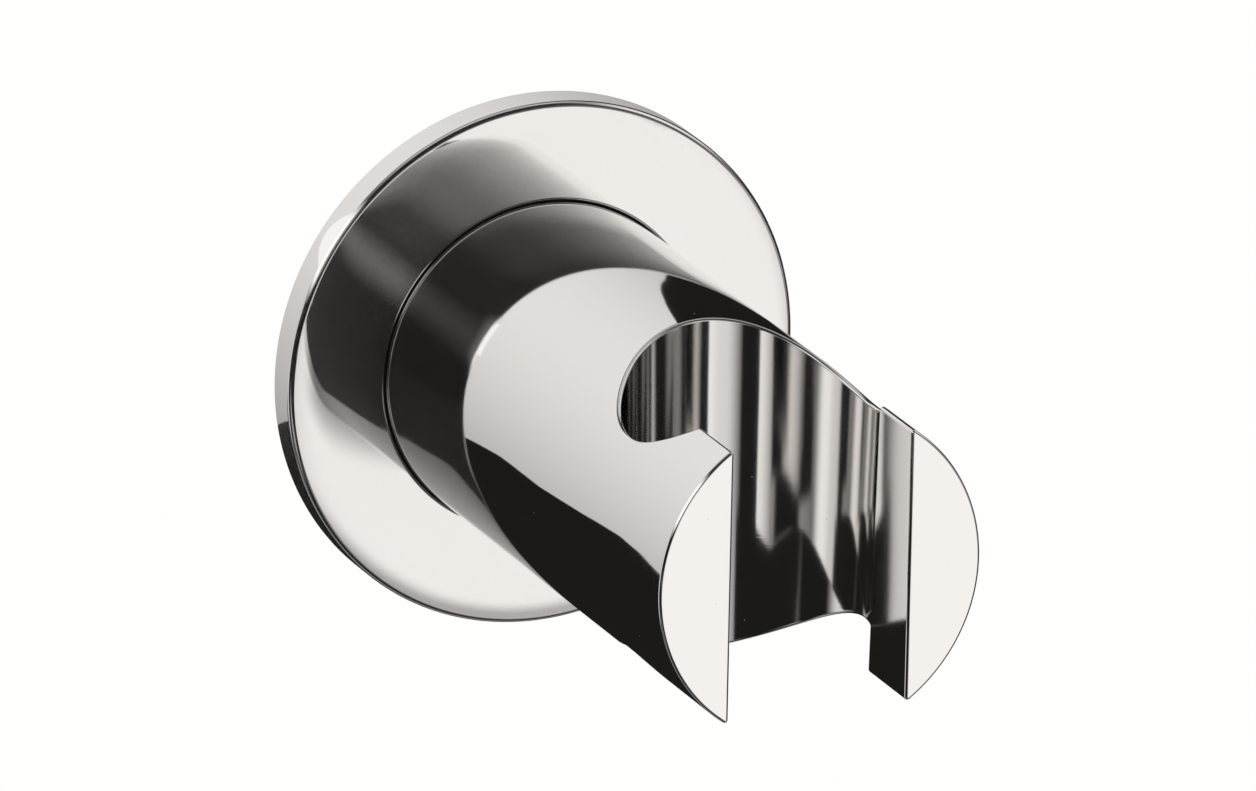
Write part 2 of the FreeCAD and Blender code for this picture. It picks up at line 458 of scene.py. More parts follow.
def thread_patch(radius_of, angle, z, outward):
    """Grid of a threaded wall round the set screw's axis; its normals come from the slopes of its radius,
    taken over small steps."""
    angle, z = np.broadcast_arrays(angle, z)
    turn, rise = SLOPE_STEP / MM, SLOPE_STEP
    radius = radius_of(angle, z)
    by_angle = (radius_of(angle + turn, z) - radius_of(angle - turn, z)) / (2 * turn)
    by_z = (radius_of(angle, z + rise) - radius_of(angle, z - rise)) / (2 * rise)
    cos, sin = np.cos(angle), np.sin(angle)
    around = np.stack([by_angle * cos - radius * sin, by_angle * sin + radius * cos, 0 * z], -1)
    upward = np.stack([by_z * cos, by_z * sin, np.ones_like(z)], -1)
    normals = np.cross(around, upward) * outward
    return round_screw(radius, angle, z), normals / np.linalg.norm(normals, axis=-1, keepdims=True)


def screw_hole(form, sizes):
    """The set screw's hole through the bar's wall below: window, countersink and threaded wall.

    The mouth's radius R is the root of R = hole + (bar^2 - (R cos(angle))^2)^(1/2) - floor.
    """
    theta = skin_angles(form)
    hole, bore = sizes.screw_radius, sizes.bore_radius
    floor = form.radius - SINK

    def mouth_radius(angle):
        """R at this angle, found by repeated substitution."""
        radius = np.full_like(angle, hole + SINK)
        for _ in range(ROOT_STEPS):
            radius = hole + np.sqrt(form.radius ** 2 - (radius * np.cos(angle)) ** 2) - floor
        return radius

    outer = screw_window(form.radius, theta, WINDOW_HALF, mouth_radius)
    inner = screw_window(bore, theta, BORE_WINDOW_HALF, lambda angle: np.full_like(angle, hole))
    around, within = full_circle(outer[2]), full_circle(inner[2])
    mouth = mouth_radius(around)
    depth = np.sqrt(form.radius ** 2 - (mouth * np.cos(around)) ** 2)
    cone = np.stack([round_screw(mouth, around, -depth), round_screw(hole, around, -floor)])
    inward = np.stack([-np.cos(around), -np.sin(around), -np.ones_like(around)], -1) / math.sqrt(2)
    rows = thread_rows(floor - bore)
    start, stop = -floor, -np.sqrt(bore ** 2 - (hole * np.cos(within)) ** 2)
    wall = thread_patch(
        thread_radius(hole, rows), around + rows * (within - around), start + rows * (stop - start), -1
    )
    return mirrored([outer[:2], (inner[0], -inner[1])]) + [(cone, np.broadcast_to(inward, cone.shape)), wall]


def full_circle(angle):
    """Angles from -90 to 90 degrees, then on round the other side by mirror image, closed."""
    return np.concatenate([angle, (math.pi - angle[::-1])[1:]])


def build_bar(sizes, outside, socket):
    """The whole bar in one piece, with its own finish in the socket."""
    form = BarForm(sizes)
    patches = mirrored(bar_front(form) + bar_back(form, sizes)) + screw_hole(form, sizes)
    return make_piece(
        "holder_body_chromed", patches, outside, socket, slot="body_chrome", stands_for=["holder_body"]
    )


# The other pieces


CIRCLE_STEPS = 256


def circle():
    """Angles all the way round."""
    return np.linspace(0, 2 * math.pi, CIRCLE_STEPS + 1)


def rounded_corner(centre_r, centre_y, radius, start, end, theta, steps):
    """Round of a turned piece: an arc about (centre_r, centre_y) from one angle to another, revolved."""
    angle = np.radians(np.linspace(start, end, steps + 1))[:, None]
    sin, cos = np.sin(angle), np.cos(angle)
    return revolved(centre_r + radius * cos, centre_y + radius * sin, cos, sin, theta)


CROWN_WIDTH = 3.5 * MM
CROWN_DROP = 0.11 * MM
CROWN_STEPS = 24
ROSETTE_WALL = 1.6 * MM
ROSETTE_RIM = 1.4 * MM
HOLE_ROUND = 0.28 * MM
BACK_ROUND = 0.15 * MM
RIM_ROUND_STEPS, HOLE_ROUND_STEPS, BACK_ROUND_STEPS = 14, 6, 4


def build_rosette(sizes, material):
    """Cover disc: its outline turned round the bar's axis, with rounds on the front, hole and back edges.

    The face is flat out to CROWN_WIDTH from its edge's round and then falls by CROWN_DROP t^3, t from nought
    to one; the round takes over at that curve's end slope.
    """
    theta = circle()
    outer = ROSETTE_HIGH.z
    face = ROSETTE_LOW.y
    hole = RING_HIGH.z
    hollow = face + ROSETTE_WALL
    inner = outer - ROSETTE_RIM
    edge, small, back = sizes.rosette_round, HOLE_ROUND, BACK_ROUND
    slope = math.atan(3 * CROWN_DROP / CROWN_WIDTH)
    crown_end = outer - edge * (1 - math.sin(slope))
    edge_y = face + CROWN_DROP + edge * math.cos(slope)
    share = np.linspace(1, 0, CROWN_STEPS + 1)[:, None]
    fall = 3 * CROWN_DROP * share ** 2 / CROWN_WIDTH
    lean = np.hypot(1, fall)
    patches = turned([(outer, -back), (outer, edge_y)], theta, -1)
    patches.append(rounded_corner(
        outer - edge, edge_y, edge, 0, math.degrees(slope) - 90, theta, RIM_ROUND_STEPS
    ))
    patches.append(revolved(
        crown_end - CROWN_WIDTH * (1 - share), face + CROWN_DROP * share ** 3, fall / lean, -1 / lean, theta
    ))
    patches += turned([(crown_end - CROWN_WIDTH, face), (hole + small, face)], theta, -1)
    patches.append(rounded_corner(hole + small, face + small, small, -90, -180, theta, HOLE_ROUND_STEPS))
    patches += turned([
        (hole, face + small),
        (hole, hollow),
        (inner, hollow),
        (inner, 0.0),
        (outer - back, 0.0),
    ], theta, -1)
    patches.append(rounded_corner(outer - back, -back, back, 90, 0, theta, BACK_ROUND_STEPS))
    return make_piece(
        "wall_rosette_chromed", patches, material, slot="rosette_chrome", stands_for=["wall_rosette"]
    )


RING_SECTION_STEPS = 24
RING_POWER = 0.55


def build_ring(material):
    """Squeezed rubber ring: a section (|cos|^p, |sin|^p) with p under one, which squares it, turned round the
    bar's axis."""
    outer = RING_HIGH.z
    low, high = RING_LOW.y, RING_HIGH.y
    inner = BAR_HIGH.z - GROOVE_DEPTH
    angle = np.linspace(0, 2 * math.pi, RING_SECTION_STEPS + 1)[:, None]
    cos, sin = np.cos(angle), np.sin(angle)
    half_r, half_y = (outer - inner) / 2, (high - low) / 2
    radius = (outer + inner) / 2 + half_r * np.sign(cos) * np.abs(cos) ** RING_POWER
    height = (low + high) / 2 + half_y * np.sign(sin) * np.abs(sin) ** RING_POWER
    slope_r = np.sign(cos) * np.abs(cos) ** (2 - RING_POWER) / half_r
    slope_y = np.sign(sin) * np.abs(sin) ** (2 - RING_POWER) / half_y
    length = np.hypot(slope_r, slope_y)
    patch = revolved(radius, height, slope_r / length, slope_y / length, circle())
    return make_piece(
        "rosette_o_ring_rubber", [patch], material, slot="ring_rubber", stands_for=["rosette_o_ring"]
    )


SCREW_STEPS = 96
POINT_RADIUS = 1.6 * MM
HEX_WIDTH = 2.5 * MM
HEX_DEPTH = 2.4 * MM
HEX_POINT = 0.3 * MM
HEX_SIDES = 6


def build_screw(material):
    """Set screw: flat point, cone, threaded shank, chamfer, end face and hexagon socket."""
    around = np.linspace(0, 2 * math.pi, SCREW_STEPS + 1)
    crest = SCREW_HIGH.x
    low, high = SCREW_LOW.z, SCREW_HIGH.z
    end_r = crest - HIDDEN_CHAMFER
    shank_low, shank_high = low + HIDDEN_CHAMFER, high - (crest - POINT_RADIUS)
    floor = low + HEX_DEPTH

    def cone(first, last, slope_r, slope_z):
        """Patch between two rings, each of a radius and a height."""
        grid = np.stack([round_screw(radius, around, z) for radius, z in (first, last)])
        normal = np.stack([slope_r * np.cos(around), slope_r * np.sin(around), slope_z + 0 * around], -1)
        return grid, np.broadcast_to(normal, grid.shape)

    root = 1 / math.sqrt(2)
    rows = thread_rows(shank_high - shank_low)
    z = shank_high + rows * (shank_low - shank_high)
    side = 2 * math.pi / HEX_SIDES
    key_r = HEX_WIDTH / 2 / np.cos(np.mod(around, side) - side / 2)
    patches = [
        cone((0.0, high), (POINT_RADIUS, high), 0.0, 1.0),
        cone((POINT_RADIUS, high), (crest, shank_high), root, root),
        thread_patch(thread_radius(crest, rows), around[None], z, 1),
        cone((crest, shank_low), (end_r, low), root, -root),
        cone((end_r, low), (key_r, low), 0.0, -1.0),
        cone((key_r, floor), (0.0, floor + HEX_POINT), 0.0, -1.0),
    ]
    per_side = SCREW_STEPS // HEX_SIDES
    wall = np.stack([round_screw(key_r, around, z) for z in (low, floor)])
    for k in range(HEX_SIDES):
        middle = (k + 0.5) * side
        face = wall[:, k * per_side:(k + 1) * per_side + 1]
        normal = np.array([-math.cos(middle), -math.sin(middle), 0.0])
        patches.append((face, np.broadcast_to(normal, face.shape)))
    return make_piece("set_screw_threaded", patches, material, slot="screw_steel", stands_for=["set_screw"])


# Materials


def new_material(name, settings):
    """Material, its node tree and its shader, with the shader's sockets in settings set by name."""
    material = bpy.data.materials.new(name)
    material.use_nodes = True
    tree = material.node_tree
    shader = next(n for n in tree.nodes if n.type == "BSDF_PRINCIPLED")
    for socket, value in settings.items():
        shader.inputs[socket].default_value = value
    return material, tree, shader


def fill(tree, socket, value):
    """Link a socket to a value that is a socket itself, or else set it."""
    if isinstance(value, bpy.types.NodeSocket):
        tree.links.new(value, socket)
    else:
        socket.default_value = value


def node(tree, kind, **values):
    """New node whose inputs and attributes are filled by name."""
    made = tree.nodes.new(kind)
    for key, value in values.items():
        if key in made.inputs:
            fill(tree, made.inputs[key], value)
        else:
            setattr(made, key, value)
    return made


def math_node(tree, operation, *values, clamp=False):
    """Math node's output; each value is a number or a socket."""
    made = node(tree, "ShaderNodeMath", operation=operation, use_clamp=clamp)
    for socket, value in zip(made.inputs, values):
        fill(tree, socket, value)
    return made.outputs[0]


def product(tree, first, *others):
    """Product of numbers and sockets."""
    for other in others:
        first = math_node(tree, "MULTIPLY", first, other)
    return first


def new_group(name, inputs, outputs):
    """Empty node group with its named sockets, numbers but for Vector, and their two ends inside it."""
    group = bpy.data.node_groups.new(name, "ShaderNodeTree")
    for side, labels in (("INPUT", inputs), ("OUTPUT", outputs)):
        for label in labels:
            kind = "NodeSocketVector" if label == "Vector" else "NodeSocketFloat"
            group.interface.new_socket(label, in_out=side, socket_type=kind)
    return group, group.nodes.new("NodeGroupInput").outputs, group.nodes.new("NodeGroupOutput").inputs


def placed(tree, make_group, **values):
    """Outputs of a node group in a tree, with its inputs filled by name; the group is made once."""
    made = tree.nodes.new("ShaderNodeGroup")
    made.node_tree = bpy.data.node_groups.get(make_group.__name__) or make_group()
    for key, value in values.items():
        fill(tree, made.inputs[key], value)
    return made.outputs


def own_place(tree):
    """Coordinates on the piece itself."""
    return node(tree, "ShaderNodeTexCoord").outputs["Object"]


def stretched(tree, vector, by):
    """Vector multiplied by a triple, part by part."""
    made = node(tree, "ShaderNodeVectorMath", operation="MULTIPLY", Vector=vector)
    made.inputs[1].default_value = by
    return made.outputs["Vector"]


def noise(tree, vector, cells, detail, roughness=0.5):
    """Noise with a number of cells to the metre along each axis."""
    made = node(tree, "ShaderNodeTexNoise", Vector=stretched(tree, vector, cells), Scale=1.0)
    made.inputs["Detail"].default_value = detail
    made.inputs["Roughness"].default_value = roughness
    return made.outputs["Fac"]


def bump(tree, height, distance, under=None):
    """Normal from a Bump node; under is the normal of a bump below it."""
    made = node(tree, "ShaderNodeBump", Height=height, Distance=distance)
    if under:
        tree.links.new(under, made.inputs["Normal"])
    return made.outputs["Normal"]


def blended(tree, share, first, second):
    """Colour between two colours, by the share of the second."""
    mix = node(tree, "ShaderNodeMix", data_type="RGBA")
    tree.links.new(share, mix.inputs[0])
    mix.inputs[6].default_value = (*first, 1.0)
    mix.inputs[7].default_value = (*second, 1.0)
    return mix.outputs[2]


UNEVEN = (3.0, 0.6)         # detail and roughness of the noise of marks and patches
GRAINS = (150000.0,) * 3
BUFFING = (260.0, 5200.0, 260.0)
WAVES = (110.0,) * 3
DUST_CELLS = (420.0,) * 3
DUST_ROUGHNESS = 0.5


def polish():
    """Node group: what buffing leaves on chrome, as roughness and as the height of a faint waviness.

    Roughness is Clear plus Marks times a noise drawn out round the bar, Hazy in a Share of grains finer
    than the eye sees, and duller in round specks of dust, a few in each square centimetre.
    """
    group, given, result = new_group(
        "polish", ("Vector", "Clear", "Marks", "Hazy", "Share", "Dust"), ("Roughness", "Height")
    )
    vector = given["Vector"]
    cell = node(group, "ShaderNodeVectorMath", operation="FLOOR", Vector=stretched(group, vector, GRAINS))
    grain = node(group, "ShaderNodeTexWhiteNoise", noise_dimensions="3D", Vector=cell.outputs["Vector"])
    hazy = math_node(group, "LESS_THAN", grain.outputs["Value"], given["Share"])
    marks = noise(group, vector, BUFFING, *UNEVEN)
    clear = math_node(group, "MULTIPLY_ADD", marks, given["Marks"], given["Clear"])
    rough = math_node(group, "MULTIPLY_ADD", math_node(group, "SUBTRACT", given["Hazy"], clear), hazy, clear)
    specks = node(group, "ShaderNodeTexVoronoi", Vector=stretched(group, vector, DUST_CELLS), Scale=1.0)
    lint = math_node(group, "LESS_THAN", specks.outputs["Distance"], given["Dust"])
    dusty = math_node(group, "MAXIMUM", rough, product(group, lint, DUST_ROUGHNESS))
    group.links.new(dusty, result["Roughness"])
    group.links.new(noise(group, vector, WAVES, 1.0), result["Height"])
    return group


BROAD = 0.13                # cells of the broad shade for each fine line


def tool_marks():
    """Node group: height and shade of the fine lines that a cutting tool leaves, a noise of one number.

    Across is the distance square to the lines in metres, and Fineness the lines in a metre.
    """
    group, given, result = new_group("tool_marks", ("Across", "Fineness"), ("Height", "Shade"))
    place = product(group, given["Across"], given["Fineness"])
    for name, across, detail in (("Height", place, 3.0), ("Shade", product(group, place, BROAD), 1.0)):
        cut = node(group, "ShaderNodeTexNoise", noise_dimensions="1D", W=across, Detail=detail, Scale=1.0)
        group.links.new(cut.outputs["Fac"], result[name])
    return group


MARKS = 0.035               # added roughness where buffing has left its marks
HAZE = 0.4                  # roughness of the hazy grains
ROSETTE_HAZE = 0.12         # share of them on the rosette
DUST = 0.022                # radius of a speck, as a share of a cell
WAVE_HEIGHT = 0.012 * MM
BORING_LINES = 5200.0
BORING_HEIGHT = 0.0012 * MM


def chrome(name, tint, clear, hazy=0.0, bored=False):
    """Polished chrome, mirror-like with faint marks, dust and a share of hazy grains; bored adds level lines
    of the tool."""
    material, tree, shader = new_material(name, {"Base Color": (*tint, 1.0), "Metallic": 1.0})
    place = own_place(tree)
    surface = placed(tree, polish, Vector=place, Clear=clear, Marks=MARKS, Hazy=HAZE, Share=hazy, Dust=DUST)
    tree.links.new(surface["Roughness"], shader.inputs["Roughness"])
    normal = bump(tree, surface["Height"], WAVE_HEIGHT)
    if bored:
        height = node(tree, "ShaderNodeSeparateXYZ", Vector=place).outputs["Z"]
        lines_left = placed(tree, tool_marks, Across=height, Fineness=BORING_LINES)
        normal = bump(tree, lines_left["Height"], BORING_HEIGHT, normal)
    tree.links.new(normal, shader.inputs["Normal"])
    return material


BRASS, DULL_BRASS = (0.78, 0.58, 0.30), (0.60, 0.40, 0.18)
TURNING_RINGS = 4200.0
TURNING_HEIGHT = 0.008 * MM
BRASS_CLOUDS = (130.0,) * 3
BRASS_ROUGHNESS, BRASS_ADDED = 0.20, 0.22


def turned_brass():
    """Brass off the lathe: rings round the bar's axis, a little darker and redder where they are rougher."""
    material, tree, shader = new_material("turned_brass", {"Metallic": 1.0})
    place = own_place(tree)
    radius = node(
        tree, "ShaderNodeVectorMath", operation="LENGTH", Vector=stretched(tree, place, (1.0, 0.0, 1.0))
    ).outputs["Value"]
    depth = node(tree, "ShaderNodeSeparateXYZ", Vector=place).outputs["Y"]
    rings = placed(tree, tool_marks, Across=math_node(tree, "ADD", radius, depth), Fineness=TURNING_RINGS)
    cloud = noise(tree, place, BRASS_CLOUDS, *UNEVEN)
    share = math_node(tree, "MULTIPLY", math_node(tree, "ADD", rings["Shade"], cloud), 0.5, clamp=True)
    tree.links.new(blended(tree, share, BRASS, DULL_BRASS), shader.inputs["Base Color"])
    rough = math_node(tree, "MULTIPLY_ADD", share, BRASS_ADDED, BRASS_ROUGHNESS)
    tree.links.new(rough, shader.inputs["Roughness"])
    tree.links.new(bump(tree, rings["Height"], TURNING_HEIGHT), shader.inputs["Normal"])
    return material


def grained(name, settings, patches, roughness, grain, depth, colours=()):
    """Material with a fine grain and with broad patches, which are rougher and may have a second colour.

    Roughness is the least value and what the patches add to it.
    """
    material, tree, shader = new_material(name, settings)
    place = own_place(tree)
    least, added = roughness
    share = noise(tree, place, patches, *UNEVEN)
    if colours:
        tree.links.new(blended(tree, share, *colours), shader.inputs["Base Color"])
    tree.links.new(math_node(tree, "MULTIPLY_ADD", share, added, least), shader.inputs["Roughness"])
    tree.links.new(bump(tree, noise(tree, place, grain, 2.0), depth), shader.inputs["Normal"])
    return material


def screw_steel():
    """Stainless steel of a small screw: fine grain from rolling the thread, and a few dull places."""
    return grained(
        "screw_steel", {"Base Color": (0.56, 0.55, 0.53, 1.0), "Metallic": 1.0},
        patches=(900.0, 900.0, 2600.0), roughness=(0.14, 0.30),
        grain=(9000.0, 9000.0, 24000.0), depth=0.002 * MM,
    )


def moulded_rubber():
    """Black rubber: a matt moulded grain with paler, drier patches."""
    return grained(
        "moulded_rubber", {"Specular IOR Level": 0.35},
        patches=(400.0,) * 3, roughness=(0.50, 0.25), grain=(16000.0,) * 3, depth=0.01 * MM,
        colours=((0.014, 0.014, 0.015), (0.032, 0.031, 0.030)),
    )


# The studio


SENSOR = 36.0
CLIP_END = 100.0


def place_camera(studio):
    """Long lens at the photograph's angle and distance from the target, rolled a little about its axis."""
    data = bpy.data.cameras.new("camera")
    data.lens, data.sensor_width, data.clip_end = studio.lens, SENSOR, CLIP_END
    camera = bpy.data.objects.new("camera", data)
    bpy.context.scene.collection.objects.link(camera)
    camera.matrix_world = (
        Matrix.Translation(studio.target)
        @ Matrix.Rotation(studio.azimuth, 4, "Z")
        @ Matrix.Rotation(math.pi / 2 - studio.elevation, 4, "X")
        @ Matrix.Rotation(studio.roll, 4, "Z")
        @ Matrix.Translation((0.0, 0.0, studio.distance))
    )
    bpy.context.scene.camera = camera


def soft_band():
    """Node group: one between Low and High, falling smoothly to nought over Soft on each side."""
    group, given, result = new_group("soft_band", ("Value", "Low", "High", "Soft"), ("Inside",))
    edges = []
    for side, sign in (("Low", 1), ("High", -1)):
        rise = math_node(group, "SUBTRACT", given["Value"], given[side])
        share = math_node(group, "DIVIDE", rise, given["Soft"])
        edge = node(group, "ShaderNodeMapRange", interpolation_type="SMOOTHSTEP", Value=share)
        edge.inputs["From Min"].default_value = -1.0
        edge.inputs["To Min"].default_value = (1 - sign) / 2
        edge.inputs["To Max"].default_value = (1 + sign) / 2
        edges.append(edge.outputs["Result"])
    group.links.new(product(group, *edges), result["Inside"])
    return group


def band(tree, value, low, high, soft):
    """One where the value lies between low and high, with soft edges."""
    return placed(tree, soft_band, Value=value, Low=low, High=high, Soft=soft)["Inside"]


def by_ray(tree, kind, usual, special, surface):
    """Give a surface one shader for the rays of a kind in the light path, and the usual one for the rest."""
    mix = node(tree, "ShaderNodeMixShader", Fac=node(tree, "ShaderNodeLightPath").outputs[kind])
    tree.links.new(usual.outputs[0], mix.inputs[1])
    tree.links.new(special.outputs[0], mix.inputs[2])
    tree.links.new(mix.outputs[0], surface)


# Lights of the mirrored room. A band is from, to and softness; x, y and z are parts of the direction, and a
# turn is the angle round the bar in degrees from straight up, to the right.

OPEN = 3.0                  # past every direction, so that a band has no end there
ROOM_DARK = 0.012
WHITE = (1.0, 1.0, 0.99, 1.0)
WARM_WHITE = (1.0, 0.975, 0.953, 1.0)
TURN_LIGHTS = (             # band of the turn, band of y, strength
    ((-76, -46, 6), (-0.76, 0.80, 0.10), 1.2),          # long strip on the left, above
    ((-126, -78, 8), (0.25, 0.75, 0.12), 0.72),         # fill behind, on the left
    ((-74, -54, 13), (-OPEN, -0.72, 0.10), 0.17),       # glow in front, in the strip's line
    ((38, 72, 12), (-0.50, 0.62, 0.14), 0.90),          # strip on the right, above
    ((-34, 40, 20), (-0.08, 0.50, 0.12), 0.55),         # light overhead
    ((-136, -108, 10), (-0.74, -0.34, 0.08), 0.40),     # side light in front, on the left
    ((80, 108, 10), (-0.74, -0.34, 0.08), 0.40),        # side light in front, on the right
    ((92, 128, 10), (0.45, 0.76, 0.10), 0.50),          # light behind, on the right
)
HEIGHT_LIGHTS = (           # band of z, band of y, strength
    ((0.30, OPEN, 0.30), (-OPEN, -0.60, 0.30), 0.05),   # ceiling in front
    ((-OPEN, -0.60, 0.14), (-0.08, 0.50, 0.12), 0.26),  # ground
)
BACKDROP_LEVEL, BACKDROP_X, BACKDROP_Z = 0.60, -0.20, 0.49
BACKDROP_Y = (0.72, OPEN, 0.12)
LOW_PART_LEVEL, LOW_PART_X = 0.26, 0.60
LOW_PART_BAND = (-0.205, OPEN, 0.03)
HIGH_PART_LEVEL, HIGH_PART_GAIN = 0.62, 0.40
HIGH_PART_GAIN_X = (0.23, OPEN, 0.13)
HIGH_PART_X, HIGH_PART_Z = (-0.12, OPEN, 0.13), (-0.41, OPEN, 0.045)
PANEL_FULL = 1.03
PANEL_FALL, PANEL_FALL_Z = math.exp(-3.2), -0.04
PANEL_X, PANEL_Y, PANEL_Z = (-OPEN, 0.60, 0.15), (-OPEN, -0.45, 0.2), (-0.70, OPEN, 0.14)


def backdrop(tree, x, y, z):
    """Wall of light behind the holder, whose strength grows evenly with z and falls with x."""
    level = math_node(tree, "MULTIPLY_ADD", x, BACKDROP_X, BACKDROP_LEVEL)
    level = math_node(tree, "MULTIPLY_ADD", z, BACKDROP_Z, level)
    return product(tree, level, band(tree, y, *BACKDROP_Y))


def front_panel(tree, x, y, z):
    """Wide panel low in front of the holder.

    Its low part grows evenly with x. Its high part fills up what is left to PANEL_FULL, more so on the
    right, and above PANEL_FALL_Z the panel falls off as a power of the height.
    """
    low = product(
        tree, math_node(tree, "MULTIPLY_ADD", x, LOW_PART_X, LOW_PART_LEVEL, clamp=True),
        band(tree, x, *LOW_PART_BAND),
    )
    gain = band(tree, x, *HIGH_PART_GAIN_X)
    high = product(
        tree, math_node(tree, "MULTIPLY_ADD", gain, HIGH_PART_GAIN, HIGH_PART_LEVEL),
        band(tree, x, *HIGH_PART_X), band(tree, z, *HIGH_PART_Z),
    )
    both = math_node(tree, "MULTIPLY_ADD", math_node(tree, "SUBTRACT", PANEL_FULL, low), high, low)
    falling = math_node(tree, "POWER", PANEL_FALL, math_node(tree, "SUBTRACT", z, PANEL_FALL_Z))
    return product(
        tree, both, math_node(tree, "MINIMUM", falling, 1.0),
        band(tree, x, *PANEL_X), band(tree, y, *PANEL_Y), band(tree, z, *PANEL_Z),
    )


def studio_world():
    """White to the camera and in plain light; the chrome mirrors a dark room with soft lights instead.

    The room's light depends on the direction alone, and is that of the strongest light there.
    """
    world = bpy.data.worlds.new("studio")
    bpy.context.scene.world = world
    world.use_nodes = True
    tree = world.node_tree
    tree.nodes.clear()
    direction = node(tree, "ShaderNodeTexCoord").outputs["Generated"]
    x, y, z = node(tree, "ShaderNodeSeparateXYZ", Vector=direction).outputs
    turn = math_node(tree, "ARCTAN2", x, z)
    lights = [backdrop(tree, x, y, z), front_panel(tree, x, y, z)]
    for value, unit, rows in ((turn, math.radians(1), TURN_LIGHTS), (z, 1.0, HEIGHT_LIGHTS)):
        for limits, reach, strength in rows:
            across = band(tree, value, *(limit * unit for limit in limits))
            lights.append(product(tree, across, band(tree, y, *reach), strength))
    strongest = ROOM_DARK
    for light in lights:
        strongest = math_node(tree, "MAXIMUM", light, strongest)
    plain_room = node(tree, "ShaderNodeBackground", Color=WHITE)
    mirrored_room = node(tree, "ShaderNodeBackground", Color=WARM_WHITE, Strength=strongest)
    surface = node(tree, "ShaderNodeOutputWorld").inputs["Surface"]
    by_ray(tree, "Is Glossy Ray", plain_room, mirrored_room, surface)


def sheet_of(name, points, faces, material, unseen_by):
    """Object of the stage from points in metres, left out for the kinds of ray in unseen_by."""
    mesh = bpy.data.meshes.new(name)
    mesh.from_pydata(points, [], faces)
    mesh.materials.append(material)
    sheet = bpy.data.objects.new(name, mesh)
    bpy.context.scene.collection.objects.link(sheet)
    for kind in unseen_by:
        setattr(sheet, "visible_" + kind, False)
    return sheet


def surface_of(tree):
    """Socket of a material's surface."""
    return next(n for n in tree.nodes if n.type == "OUTPUT_MATERIAL").inputs["Surface"]


# Cards and veil stand near the holder and are seen only in the chrome; their outlines are (x, z) pairs in
# millimetres. The black cards shape the dark fields on the bar, the socket's walls and the flat faces. The
# white card glows to paint a highlight on the rosette's rim.

MIRRORED_ONLY = ("camera", "diffuse", "shadow", "transmission", "volume_scatter")
CARD_BLACK, CARD_BLACK_STRENGTH = (1.0, 0.96, 0.80, 1.0), 0.012
# Glow of the card that paints a highlight on the rosette's rim; it lights nothing else
PAINTED_HIGHLIGHT, PAINTED_HIGHLIGHT_STRENGTH = (1.0, 1.0, 1.0, 1.0), 1.05
BACK_CARDS_Y = 40.0
UPPER_CARD = (
    (20.0, 59.4), (28.9, 46.4), (35.9, 35.5), (41.0, 24.0), (44.0, 12.0), (44.0, 0.0), (43.0, -8.0),
    (140.0, -8.0), (140.0, 110.0), (0.0, 110.0),
)
LOWER_CARD = (
    (-20.0, -27.0), (-30.0, -25.5), (-36.0, -24.2), (-40.0, -22.6), (-46.0, -20.0), (-51.6, -18.9),
    (-56.6, -21.6), (-63.1, -20.7), (-69.7, -18.4), (-72.0, -20.5), (-73.2, -26.0), (-73.6, -34.0),
    (-78.0, -130.0), (70.0, -130.0), (70.0, -30.0), (20.0, -27.0),
)
FRONT_CARD_Y = -170.0
FRONT_CARD = (
    (-600.0, -40.0), (-600.0, -112.0), (-90.0, -112.0), (-62.0, -97.0), (-26.0, -97.0), (-18.0, -94.3),
    (-10.0, -89.0), (-20.0, -72.0), (-20.0, -40.0),
)
# Card just behind the rosette's rim whose glow is a painted highlight on the rim
RIM_CARD_Y = 5.0
RIM_CARD_MIDDLE, RIM_CARD_HALF = -56.5, 9.5     # degrees round the bar from straight up
RIM_CARD_RADIUS, RIM_CARD_WIDTH = 31.1, 1.7
RIM_CARD_STEPS = 24


def card_shade(name, colour, strength):
    """Matt shade of a studio card: all its light is its own, so that it doesn't depend on the room."""
    return new_material(name, {
        "Base Color": (0.0, 0.0, 0.0, 1.0), "Specular IOR Level": 0.0,
        "Emission Color": colour, "Emission Strength": strength,
    })[0]


def card(name, y, outline, shade):
    """Flat upright card across the bar's direction."""
    points = [(x * MM, y * MM, z * MM) for x, z in outline]
    sheet = sheet_of(name, points, [range(len(points))], shade, MIRRORED_ONLY)


def rim_card():
    """Outline of the card that paints the rim's highlight: a narrow lens along the rosette's rim behind it,
    an arc of RIM_CARD_RADIUS, and one that lies RIM_CARD_WIDTH (1 - t^2) inside it, t from -1 to 1 along the
    arc."""
    t = np.linspace(-1, 1, RIM_CARD_STEPS + 1)
    angle = np.radians(RIM_CARD_MIDDLE + RIM_CARD_HALF * t)
    radius = RIM_CARD_RADIUS - RIM_CARD_WIDTH * np.stack([1 - t ** 2, 0 * t])
    inner, outer = np.stack([radius * np.sin(angle), radius * np.cos(angle)], -1).tolist()
    return inner + outer[-2:0:-1]


# The veil paints shade on the rosette: a one-sided clear sheet in front of it that only the chrome sees
VEIL_Y = -30.0 * MM
VEIL_HOLE, VEIL_END = 15.5 * MM, 91.5 * MM
VEIL_STEPS = 96
# Bands of the veil, in millimetres
VEIL_FAR = 300.0
DIM_RADIUS, DIM_HEIGHT = (30.5, VEIL_FAR, 2.0), (17.0, VEIL_FAR, 1.0)
DIM_LEFT, DIM_LEFT_DROP = (-VEIL_FAR, 0.0, 8.0), 22.0
DIM_LEAN = -0.6
DIM_RANGE = {"From Min": -1.0, "From Max": 37.0, "To Min": 0.37, "To Max": 0.72}
# Painted shadow on the rosette next to the bar below on the left
SHADOW_RADIUS, SHADOW_X, SHADOW_Z = (-1.0, 17.6, 2.0), (-30.0, -2.0, 1.5), (-60.0, -8.0, 3.0)
SHADOW_DEPTH = 0.62


